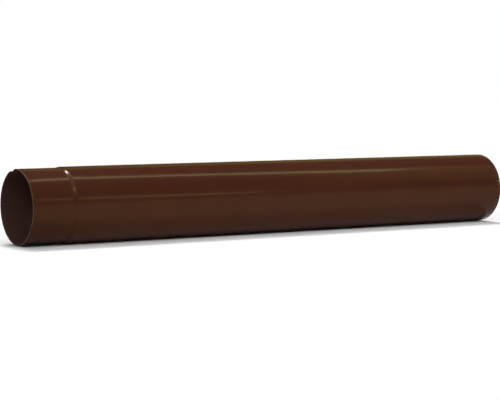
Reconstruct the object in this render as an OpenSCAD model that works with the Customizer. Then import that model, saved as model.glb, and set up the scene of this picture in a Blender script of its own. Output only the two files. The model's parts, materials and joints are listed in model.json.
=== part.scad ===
// Round downspout pipe: one length of colour-coated sheet steel that lies along X.
// The reduced spigot at -X slides into the plain end of the next pipe.

/* [Pipe] */
// Outside diameter of the body
body_d = 100; // [60:1:160]
// Overall length, from the tip of the spigot to the plain end
pipe_length = 770; // [300:5:3000]
// Thickness of the coated sheet
sheet_t = 0.6; // [0.4:0.05:1.2]

/* [Spigot] */
// Length of the straight, reduced end
spigot_length = 56; // [30:1:100]
// Radial play between the spigot and the bore of the pipe that it slides into
spigot_play = 0.65; // [0.3:0.05:1.5]

/* [Shoulder] */
// Length along the pipe of the double bend between spigot and body
shoulder_length = 8; // [4:0.5:20]

/* [Seam] */
// Width of the groove where the sheet's long edges meet
seam_width = 1.2; // [0.6:0.1:3]
// Depth of that groove
seam_depth = 0.25; // [0.1:0.05:0.35]
// Angle from the top of the lying pipe to the seam, towards +Y
seam_angle = 16; // [0:1:180]

/* [Hidden] */
$fn = 96;
coating_brown = [0.27, 0.16, 0.11];

// Radii at the middle of the sheet
body_mid_r = (body_d - sheet_t) / 2;
spigot_mid_r = body_mid_r - sheet_t - spigot_play;

// The shoulder is two equal bends of the sheet, one out and one back, that share a tangent
shoulder_step = body_mid_r - spigot_mid_r;
bend_angle = 2 * atan(shoulder_step / shoulder_length);
bend_r = shoulder_length / (2 * sin(bend_angle));
bend_segments = 8;

// The groove is cut from outside the sheet and past both ends by this much
seam_overcut = 1;

// Line of the sheet from the spigot's tip to the plain end, as [radius, distance from the tip].
// The offset is measured outwards from the middle of the sheet.
// The line runs past both ends by the overrun.
function sheet_line(offset, overrun = 0) = concat(
    [[spigot_mid_r + offset, -overrun]],
    [for (i = [0 : bend_segments]) bend_out(bend_angle * i / bend_segments, offset)],
    [for (i = [bend_segments - 1 : -1 : 0]) bend_back(bend_angle * i / bend_segments, offset)],
    [[body_mid_r + offset, pipe_length + overrun]]
);

// Point on the bend that leaves the spigot, whose centre lies outside the sheet
function bend_out(angle, offset) =
    [spigot_mid_r + bend_r, spigot_length] + (bend_r - offset) * [-cos(angle), sin(angle)];

// Point on the bend that runs into the body, whose centre lies inside the sheet
function bend_back(angle, offset) =
    [body_mid_r - bend_r, spigot_length + shoulder_length] + (bend_r + offset) * [cos(angle), -sin(angle)];

function reversed(list) = [for (i = [len(list) - 1 : -1 : 0]) list[i]];

// Half section of what lies between two offsets from the middle of the sheet
module layer_section(outer, inner, overrun = 0) {
    polygon(concat(sheet_line(outer, overrun), reversed(sheet_line(inner, overrun))));
}

// The wall, turned about Z with the spigot's tip at the origin
module wall() {
    rotate_extrude()
        layer_section(sheet_t / 2, -sheet_t / 2);
}

// The seam's groove follows the sheet over the shoulder, from end to end
module seam_groove() {
    rotate([90, 0, 180 - seam_angle])
        linear_extrude(seam_width, center = true)
            layer_section(sheet_t / 2 + seam_overcut, sheet_t / 2 - seam_depth, seam_overcut);
}

// The pipe lies on its body, with its middle above the origin
module downspout_pipe() {
    color(coating_brown)
        translate([-pipe_length / 2, 0, body_d / 2])
            rotate([0, 90, 0])
                difference() {
                    wall();
                    seam_groove();
                }
}

downspout_pipe();
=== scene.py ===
"""Looks of a lying downspout pipe: coated sheet steel on a pale studio floor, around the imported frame."""

import json
import math

import bmesh
import bpy
from mathutils import Matrix, Vector


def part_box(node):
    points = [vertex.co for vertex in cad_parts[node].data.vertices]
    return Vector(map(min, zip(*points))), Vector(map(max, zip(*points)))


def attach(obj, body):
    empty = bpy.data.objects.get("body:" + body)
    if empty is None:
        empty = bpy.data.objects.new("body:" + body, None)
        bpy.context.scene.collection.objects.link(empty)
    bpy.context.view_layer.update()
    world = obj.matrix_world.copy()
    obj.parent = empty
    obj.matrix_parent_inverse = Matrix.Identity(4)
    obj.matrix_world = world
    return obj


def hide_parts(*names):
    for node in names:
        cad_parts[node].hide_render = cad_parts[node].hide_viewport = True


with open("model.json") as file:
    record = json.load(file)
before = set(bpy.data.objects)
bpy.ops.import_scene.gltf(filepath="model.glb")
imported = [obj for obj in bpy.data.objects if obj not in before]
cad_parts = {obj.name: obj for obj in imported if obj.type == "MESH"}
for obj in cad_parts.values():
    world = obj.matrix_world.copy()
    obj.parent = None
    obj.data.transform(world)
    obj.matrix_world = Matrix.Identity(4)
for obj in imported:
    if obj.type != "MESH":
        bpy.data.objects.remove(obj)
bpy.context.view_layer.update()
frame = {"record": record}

MM = 0.001
NODE = "downspout_pipe"

# Sizes of the pipe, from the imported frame
mounts = {mount["name"]: mount["dims"] for mount in frame["record"]["mounts"]}
low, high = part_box(NODE)
PIPE_LENGTH = high.x - low.x
TIP_X = low.x
BODY_R = mounts["bracket_seat"]["r_mm"] * MM
BODY_LENGTH = mounts["bracket_seat"]["length_mm"] * MM
BORE_R = mounts["socket"]["r_mm"] * MM
SPIGOT_R = mounts["spigot"]["r_mm"] * MM
SPIGOT_LENGTH = mounts["spigot"]["length_mm"] * MM
SHEET = BODY_R - BORE_R
AXIS_Z = BODY_R

# The seam's groove, as on the solid: its angle is measured from the top towards the front
SEAM_ANGLE = math.radians(-16)
SEAM_WIDTH = 1.2 * MM
SEAM_DEPTH = 0.25 * MM
# Width of each sloping side of the groove
SEAM_SIDE = 0.12 * MM

# Dents in the spigot's rim, in degrees from the top towards the front: where each starts, how far round
# it deepens and then fades, and its depth. A dent that runs towards the back has negative angles.
RIM_DENTS = (
    (2, 20, 25, 0.9 * MM),
    (111, 9, 16, 1.8 * MM),
    (-5, -8, -13, 1.8 * MM),
)
# Length along the spigot over which the dents fade out
DENT_REACH = 35 * MM

# Rounding left on the cut edges by the shears
EDGE_R = 0.14 * MM

# Fineness of the mesh
SECTORS = 256
BEND_STEPS = 10
SPIGOT_RINGS = 24
BODY_RINGS = 60
EDGE_STEPS = 3

# The pipe's materials, in the order that its mesh holds them
COAT, LINING, EDGE = range(3)

# The photograph's view: the picture's size, the focal length and the spigot's tip, all in its pixels
PICTURE_W = 500
PICTURE_H = 400
FOCAL_PX = 1662.7
TIP_PIXEL = (16.45, 207.22)
# How far away the tip is along the view, and where the view comes from
TIP_DEPTH = 2.1104
VIEW_AZIMUTH = math.radians(-33.237)
VIEW_ELEVATION = math.radians(3.889)
VIEW_REACH = 200.0
SENSOR_WIDTH = 36.0

# The two colours that each surface varies between
COAT_COLOURS = ((0.0618, 0.0182, 0.0102), (0.0751, 0.0224, 0.0125))
LINING_COLOURS = ((0.076, 0.037, 0.030), (0.095, 0.047, 0.038))
EDGE_COLOURS = ((0.14, 0.10, 0.055), (0.26, 0.20, 0.115))
FLOOR_COLOURS = ((0.90, 0.90, 0.90), (0.92, 0.92, 0.92))
WHITE = (1.0, 1.0, 1.0)

# The least and the most roughness of each surface, and the noise values that give them
COAT_ROUGHNESS = (0.15, 0.19)
LINING_ROUGHNESS = (0.38, 0.5)
EDGE_ROUGHNESS = (0.4, 0.6)
NOISE_SPAN = (0.3, 0.7)

# Gloss of the coats, and the share of bare metal on the cut edges
COAT_GLOSS = 0.102
COAT_GLOSS_TINT = (1.0, 0.99, 0.37)
LINING_GLOSS = 0.1
EDGE_METAL = 0.4

# Heights of the fine relief
PEEL_HEIGHT = 0.004 * MM
WAVE_HEIGHT = 0.15 * MM
LINING_GRAIN_HEIGHT = 0.006 * MM
EDGE_GRAIN_HEIGHT = 0.03 * MM

# The floor shows white all over. The light that it throws comes from white near the pipe, out to these
# distances from its middle, and fades to that of a grey floor past them.
FLOOR_HALF = 40.0
WHITE_HALF = (0.28, 0.10, 0.0)
WHITE_FADE = 0.16
NEAR_WHITE = (0.91, 0.91, 0.91)
FAR_GREY = (0.33, 0.33, 0.33)

# The world shows white at the horizon, where it throws light of the first strength, and is dim overhead.
# It fades between two angles above the horizon.
HORIZON_LIGHT = 0.36
OVERHEAD_GLOW = 0.037
GLOW_FADE = (math.radians(3.5), math.radians(10.0))


def add_object(name, data):
    """Puts a new object into the scene."""
    thing = bpy.data.objects.new(name, data)
    bpy.context.scene.collection.objects.link(thing)
    return thing


# Camera

def add_camera():
    """Places the camera so that the spigot's tip falls on its pixel, at its depth."""
    data = bpy.data.cameras.new("camera")
    data.sensor_width = SENSOR_WIDTH
    data.lens = FOCAL_PX / PICTURE_W * SENSOR_WIDTH
    data.clip_end = VIEW_REACH
    camera = add_object("camera", data)
    back = Vector((
        math.sin(VIEW_AZIMUTH) * math.cos(VIEW_ELEVATION),
        -math.cos(VIEW_AZIMUTH) * math.cos(VIEW_ELEVATION),
        math.sin(VIEW_ELEVATION),
    ))
    turn = (-back).to_track_quat("-Z", "Y")
    right = (TIP_PIXEL[0] - PICTURE_W / 2) / FOCAL_PX
    down = (TIP_PIXEL[1] - PICTURE_H / 2) / FOCAL_PX
    tip_in_view = Vector((right, -down, -1.0)) * TIP_DEPTH
    camera.rotation_mode = "QUATERNION"
    camera.rotation_quaternion = turn
    camera.location = Vector((TIP_X, 0.0, AXIS_Z)) - turn @ tip_in_view
    bpy.context.scene.camera = camera


# Node helpers

# Sockets of a Mix node that blends colours: their names repeat, so they go by number
MIX_FIRST = 6
MIX_SECOND = 7
MIX_RESULT = 2


class Nodes:
    """The nodes of a material or a world, with short ways to add and link them."""

    def __init__(self, owner):
        owner.use_nodes = True
        self.tree = owner.node_tree

    def inputs_of(self, name):
        """Inputs of a node that is there from the start."""
        return self.tree.nodes[name].inputs

    def add(self, kind):
        """A new node."""
        return self.tree.nodes.new("ShaderNode" + kind)

    def feed(self, socket, value):
        """Links another node's output to a socket, or sets a constant."""
        if isinstance(value, bpy.types.NodeSocket):
            self.tree.links.new(value, socket)
        elif socket.type == "RGBA":
            socket.default_value = (*value, 1.0)
        else:
            socket.default_value = value

    def calculate(self, kind, operation, *values):
        """Result of a Math or a VectorMath node."""
        node = self.add(kind)
        node.operation = operation
        for socket, value in zip(node.inputs, values):
            self.feed(socket, value)
        return node.outputs[0]

    def split(self, vector):
        """The three coordinates of a vector, by name."""
        node = self.add("SeparateXYZ")
        self.feed(node.inputs["Vector"], vector)
        return node.outputs

    def place(self):
        """The object's own coordinates."""
        return self.add("TexCoord").outputs["Object"]

    def shown(self):
        """1 where the camera, a reflection or glass shows this, and 0 for the light that it throws."""
        path = self.add("LightPath").outputs
        seen = self.calculate("Math", "MAXIMUM", path["Is Camera Ray"], path["Is Glossy Ray"])
        return self.calculate("Math", "MAXIMUM", seen, path["Is Transmission Ray"])

    def noise(self, scale, detail=2.0, stretch=(1.0, 1.0, 1.0)):
        """A noise texture: scale is its cells to the metre, and stretch multiplies that along each axis."""
        mapping = self.add("Mapping")
        self.feed(mapping.inputs["Vector"], self.place())
        self.feed(mapping.inputs["Scale"], stretch)
        texture = self.add("TexNoise")
        self.feed(texture.inputs["Vector"], mapping.outputs["Vector"])
        self.feed(texture.inputs["Scale"], scale)
        self.feed(texture.inputs["Detail"], detail)
        return texture.outputs["Fac"]

    def map_range(self, value, source, target, smooth=False):
        """Takes a value from one range to another."""
        node = self.add("MapRange")
        if smooth:
            node.interpolation_type = "SMOOTHSTEP"
        self.feed(node.inputs["Value"], value)
        for end, limit in zip(("Min", "Max"), source):
            self.feed(node.inputs["From " + end], limit)
        for end, limit in zip(("Min", "Max"), target):
            self.feed(node.inputs["To " + end], limit)
        return node.outputs["Result"]

    def mix(self, factor, first, second):
        """Blends two colours."""
        node = self.add("Mix")
        node.data_type = "RGBA"
        self.feed(node.inputs["Factor"], factor)
        self.feed(node.inputs[MIX_FIRST], first)
        self.feed(node.inputs[MIX_SECOND], second)
        return node.outputs[MIX_RESULT]

    def bump(self, height, distance, normal=None):
        """Fine relief, on top of another one where that one's normal is given."""
        node = self.add("Bump")
        self.feed(node.inputs["Height"], height)
        self.feed(node.inputs["Distance"], distance)
        if normal is not None:
            self.feed(node.inputs["Normal"], normal)
        return node.outputs["Normal"]


def new_material(name):
    """A material, its nodes and its shader's inputs."""
    material = bpy.data.materials.new(name)
    nodes = Nodes(material)
    return material, nodes, nodes.inputs_of("Principled BSDF")


# Materials

def coated_steel():
    """Brown coil coating: semi-gloss, with faint mottling, orange peel and long marks from rolling."""
    material, nodes, shader = new_material("coated_steel")
    mottle = nodes.noise(scale=35.0, detail=4.0)
    rolling = nodes.noise(scale=160.0, stretch=(0.03, 1.0, 1.0))
    peel = nodes.noise(scale=900.0)
    waves = nodes.noise(scale=14.0, detail=1.0, stretch=(0.35, 1.0, 1.0))
    nodes.feed(shader["Base Color"], nodes.mix(mottle, *COAT_COLOURS))
    nodes.feed(shader["Roughness"], nodes.map_range(rolling, NOISE_SPAN, COAT_ROUGHNESS))
    nodes.feed(shader["Specular IOR Level"], COAT_GLOSS)
    nodes.feed(shader["Specular Tint"], COAT_GLOSS_TINT)
    nodes.feed(shader["Normal"], nodes.bump(waves, WAVE_HEIGHT, nodes.bump(peel, PEEL_HEIGHT)))
    return material


def backing_coat():
    """Thin, duller coat on the inside of the sheet."""
    material, nodes, shader = new_material("backing_coat")
    mottle = nodes.noise(scale=50.0, detail=4.0, stretch=(0.4, 1.0, 1.0))
    grain = nodes.noise(scale=700.0)
    nodes.feed(shader["Base Color"], nodes.mix(mottle, *LINING_COLOURS))
    nodes.feed(shader["Roughness"], nodes.map_range(mottle, NOISE_SPAN, LINING_ROUGHNESS))
    nodes.feed(shader["Specular IOR Level"], LINING_GLOSS)
    nodes.feed(shader["Normal"], nodes.bump(grain, LINING_GRAIN_HEIGHT))
    return material


def cut_edge():
    """Sheared edge of the sheet: zinc and steel, dulled, with coating dragged over it."""
    material, nodes, shader = new_material("cut_edge")
    grain = nodes.noise(scale=1500.0, detail=3.0)
    nodes.feed(shader["Base Color"], nodes.mix(grain, *EDGE_COLOURS))
    nodes.feed(shader["Metallic"], EDGE_METAL)
    nodes.feed(shader["Roughness"], nodes.map_range(grain, NOISE_SPAN, EDGE_ROUGHNESS))
    nodes.feed(shader["Normal"], nodes.bump(grain, EDGE_GRAIN_HEIGHT))
    return material


def floor_paper():
    """Pale studio floor, very slightly uneven. Away from the pipe it throws less light than it shows."""
    material, nodes, shader = new_material("floor_paper")
    pale = nodes.mix(nodes.noise(scale=2.0), *FLOOR_COLOURS)
    apart = nodes.calculate("VectorMath", "ABSOLUTE", nodes.place())
    past = nodes.split(nodes.calculate("VectorMath", "SUBTRACT", apart, WHITE_HALF))
    farther = nodes.calculate("Math", "MAXIMUM", past["X"], past["Y"])
    beyond = nodes.map_range(farther, (0.0, WHITE_FADE), (0.0, 1.0))
    thrown = nodes.mix(beyond, NEAR_WHITE, FAR_GREY)
    nodes.feed(shader["Base Color"], nodes.mix(nodes.shown(), thrown, pale))
    nodes.feed(shader["Roughness"], 1.0)
    nodes.feed(shader["Specular IOR Level"], 0.0)
    return material


# The pipe's mesh

def steps_between(start, end, count):
    """Values in even steps from start to end, with both."""
    return [start + (end - start) * i / count for i in range(count + 1)]


def looped(items):
    """Pairs of each item and the one after it, and of the last one and the first."""
    return zip(items, items[1:] + items[:1])


def sheet_line(offset):
    """Points (distance from the tip, radius) along the sheet, at an offset outwards from its middle."""
    body_mid = BODY_R - SHEET / 2
    spigot_mid = SPIGOT_R - SHEET / 2
    shoulder = PIPE_LENGTH - SPIGOT_LENGTH - BODY_LENGTH
    body_start = SPIGOT_LENGTH + shoulder
    # The shoulder is two equal bends that share a tangent, as on the solid
    bend_angle = 2 * math.atan((body_mid - spigot_mid) / shoulder)
    bend_r = shoulder / (2 * math.sin(bend_angle))
    turns = steps_between(0.0, bend_angle, BEND_STEPS)
    # The bend out of the spigot has its centre outside the sheet, and the bend into the body inside it
    out_r = bend_r - offset
    back_r = bend_r + offset
    points = [(x, spigot_mid + offset) for x in steps_between(EDGE_R, SPIGOT_LENGTH, SPIGOT_RINGS)[:-1]]
    for turn in turns[:-1]:
        points.append((SPIGOT_LENGTH + out_r * math.sin(turn), spigot_mid + bend_r - out_r * math.cos(turn)))
    for turn in reversed(turns):
        points.append((body_start - back_r * math.sin(turn), body_mid - bend_r + back_r * math.cos(turn)))
    for x in steps_between(body_start, PIPE_LENGTH - EDGE_R, BODY_RINGS)[1:]:
        points.append((x, body_mid + offset))
    return points


def edge_round(x, direction, radius_from, radius_to):
    """Points of a cut edge that faces the given way along X, from one surface of the sheet to the other."""
    inset = math.copysign(EDGE_R, radius_to - radius_from)
    turns = steps_between(0.0, math.pi / 2, EDGE_STEPS)
    first = [(math.sin(turn), radius_from + inset * (1 - math.cos(turn))) for turn in turns[1:]]
    second = [(math.cos(turn), radius_to - inset * (1 - math.sin(turn))) for turn in turns[:-1]]
    return [(x + direction * EDGE_R * along, radius) for along, radius in first + second]


def pipe_profile():
    """Closed section of the wall.

    Gives its points, each with the sheet's outer radius there, and the finish of the stretch after each.
    """
    outer = sheet_line(SHEET / 2)
    inner = sheet_line(-SHEET / 2)[::-1]
    far_edge = edge_round(PIPE_LENGTH - EDGE_R, 1, BODY_R, BORE_R)
    near_edge = edge_round(EDGE_R, -1, SPIGOT_R - SHEET, SPIGOT_R)
    points = [(x, radius, radius) for x, radius in outer]
    points += [(x, radius, BODY_R) for x, radius in far_edge]
    points += [(x, radius, radius + SHEET) for x, radius in inner]
    points += [(x, radius, SPIGOT_R) for x, radius in near_edge]
    finishes = [COAT] * (len(outer) - 1) + [EDGE] * (len(far_edge) + 1)
    finishes += [LINING] * (len(inner) - 1) + [EDGE] * (len(near_edge) + 1)
    return points, finishes


def ease(share):
    """Smooth step from 0 to 1."""
    share = min(max(share, 0.0), 1.0)
    return share * share * (3 - 2 * share)


def dent_depth(angle):
    """How far the rim is pushed in at an angle from the top towards the front."""
    turned = math.degrees(angle)
    depth = 0.0
    for start, rise, fall, full in RIM_DENTS:
        depth += full * ease((turned - start) / rise) * (1 - ease((turned - start - rise) / fall))
    return depth


def sector_angles():
    """Angles round the pipe from -180 to 180 degrees, each with whether it is on the groove's floor."""
    half_floor = SEAM_WIDTH / 2 / BODY_R
    half_groove = half_floor + SEAM_SIDE / BODY_R
    # Even angles in the groove, or within a quarter of a sector beside it, make way for its edges
    clear = half_groove + 2 * math.pi / SECTORS / 4
    even = steps_between(-math.pi, math.pi, SECTORS)[:-1]
    angles = [(angle, False) for angle in even if abs(angle - SEAM_ANGLE) > clear]
    for side in (-1, 1):
        angles.append((SEAM_ANGLE + side * half_groove, False))
        angles.append((SEAM_ANGLE + side * half_floor, True))
    return sorted(angles)


def lathe(name, points, finishes, materials):
    """Turns the section about the pipe's axis, with the seam's groove and the dents of the rim."""
    build = bmesh.new()
    sectors = [(angle, dent_depth(angle), in_groove) for angle, in_groove in sector_angles()]
    rings = []
    for x, wall_r, outer_r in points:
        fade = 1 - ease(x / DENT_REACH)
        ring = []
        for angle, dent, in_groove in sectors:
            radius = min(wall_r, outer_r - SEAM_DEPTH) if in_groove else wall_r
            radius -= dent * fade
            y = -radius * math.sin(angle)
            z = AXIS_Z + radius * math.cos(angle)
            ring.append(build.verts.new((TIP_X + x, y, z)))
        rings.append(ring)
    for (ring, following), finish in zip(looped(rings), finishes):
        for (first, second), (fourth, third) in zip(looped(ring), looped(following)):
            face = build.faces.new((first, second, third, fourth))
            face.smooth = True
            face.material_index = finish
    bmesh.ops.recalc_face_normals(build, faces=build.faces)
    mesh = bpy.data.meshes.new(name)
    build.to_mesh(mesh)
    build.free()
    for material in materials:
        mesh.materials.append(material)
    return add_object(name, mesh)


def add_pipe():
    """Makes the coated pipe, which replaces its node of the frame."""
    points, finishes = pipe_profile()
    pipe = lathe("coated_pipe", points, finishes, [coated_steel(), backing_coat(), cut_edge()])
    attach(pipe, "root")
    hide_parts(NODE)


# Studio

def add_floor():
    """Lays a wide floor under the pipe."""
    half = FLOOR_HALF
    corners = [(-half, -half, 0), (half, -half, 0), (half, half, 0), (-half, half, 0)]
    mesh = bpy.data.meshes.new("floor")
    mesh.from_pydata(corners, [], [(0, 1, 2, 3)])
    mesh.materials.append(floor_paper())
    floor = add_object("floor", mesh)


def add_world():
    """White at the horizon and dim overhead. The horizon, too, throws less light than it shows."""
    world = bpy.data.worlds.new("studio")
    bpy.context.scene.world = world
    nodes = Nodes(world)
    height = nodes.split(nodes.add("TexCoord").outputs["Generated"])["Z"]
    fade = [math.sin(angle) for angle in GLOW_FADE]
    horizon = nodes.map_range(nodes.shown(), (0.0, 1.0), (HORIZON_LIGHT, 1.0))
    background = nodes.inputs_of("Background")
    nodes.feed(background["Color"], WHITE)
    nodes.feed(background["Strength"], nodes.map_range(height, fade, (horizon, OVERHEAD_GLOW), smooth=True))


def add_sun(name, towards, energy, angle):
    """Soft, distant lamp in the direction given, as wide as the angle in degrees."""
    data = bpy.data.lights.new(name, "SUN")
    data.energy = energy
    data.angle = math.radians(angle)
    lamp = add_object(name, data)
    lamp.rotation_mode = "QUATERNION"
    lamp.rotation_quaternion = (-Vector(towards)).to_track_quat("-Z", "Y")


def add_panel(name, centre, size, along, radiance, colour):
    """Rectangular lamp that faces the pipe's middle, with its first side along a direction.

    It shows in reflections only.
    """
    data = bpy.data.lights.new(name, "AREA")
    data.shape = "RECTANGLE"
    data.size, data.size_y = size
    data.energy = radiance * size[0] * size[1] * math.pi
    data.color = colour
    back = (Vector(centre) - Vector((0.0, 0.0, AXIS_Z))).normalized()
    side = Vector(along)
    side = (side - side.dot(back) * back).normalized()
    turn = Matrix((side, back.cross(side), back)).transposed()
    lamp = add_object(name, data)
    lamp.matrix_world = Matrix.Translation(centre) @ turn.to_4x4()
    lamp.visible_diffuse = False


def add_lamps():
    """Adds the studio's lamps, and the panels that the pipe's gloss mirrors."""
    # Light on the pipe and the floor
    add_sun("back_key", towards=(0.15, 0.42, 0.895), energy=1.78, angle=13)
    add_sun("front_key", towards=(0.0, -0.64, 0.77), energy=0.53, angle=45)
    add_sun("front_spot", towards=(0.0, -0.64, 0.77), energy=0.25, angle=10)
    add_sun("top_fill", towards=(0.1, 0.0, 0.99), energy=0.72, angle=40)
    add_sun("right_fill", towards=(0.88, -0.42, 0.22), energy=0.31, angle=20)
    add_sun("left_fill", towards=(-0.72, -0.68, 0.69), energy=0.80, angle=30)
    # The long line near the top of the pipe, and the fainter one below it
    add_panel(
        "strip", centre=(0.515, -0.09, 1.2), size=(0.97, 0.08), along=(0.98, -0.275, 0.0),
        radiance=8.8, colour=(0.94, 1.0, 0.64))
    add_panel(
        "front_strip", centre=(0.95, -2.0, 0.82), size=(0.66, 0.10), along=(0.6, 0.0, -0.2),
        radiance=8.0, colour=(0.97, 0.80, 0.68))
    # The olive edge along the top, and the olive sheen on the far half
    add_panel(
        "back_panel", centre=(1.4, 1.7, 1.2), size=(1.7, 0.6), along=(1.0, 0.15, 0.0),
        radiance=0.31, colour=(1.0, 0.97, 0.02))
    add_panel(
        "right_panel", centre=(1.5, -0.65, 1.2), size=(0.9, 1.3), along=(1.0, 0.0, 0.0),
        radiance=0.72, colour=(0.95, 0.86, 0.31))


add_camera()
add_pipe()
add_floor()
add_world()
add_lamps()

bpy.context.scene.view_settings.view_transform = "Standard"
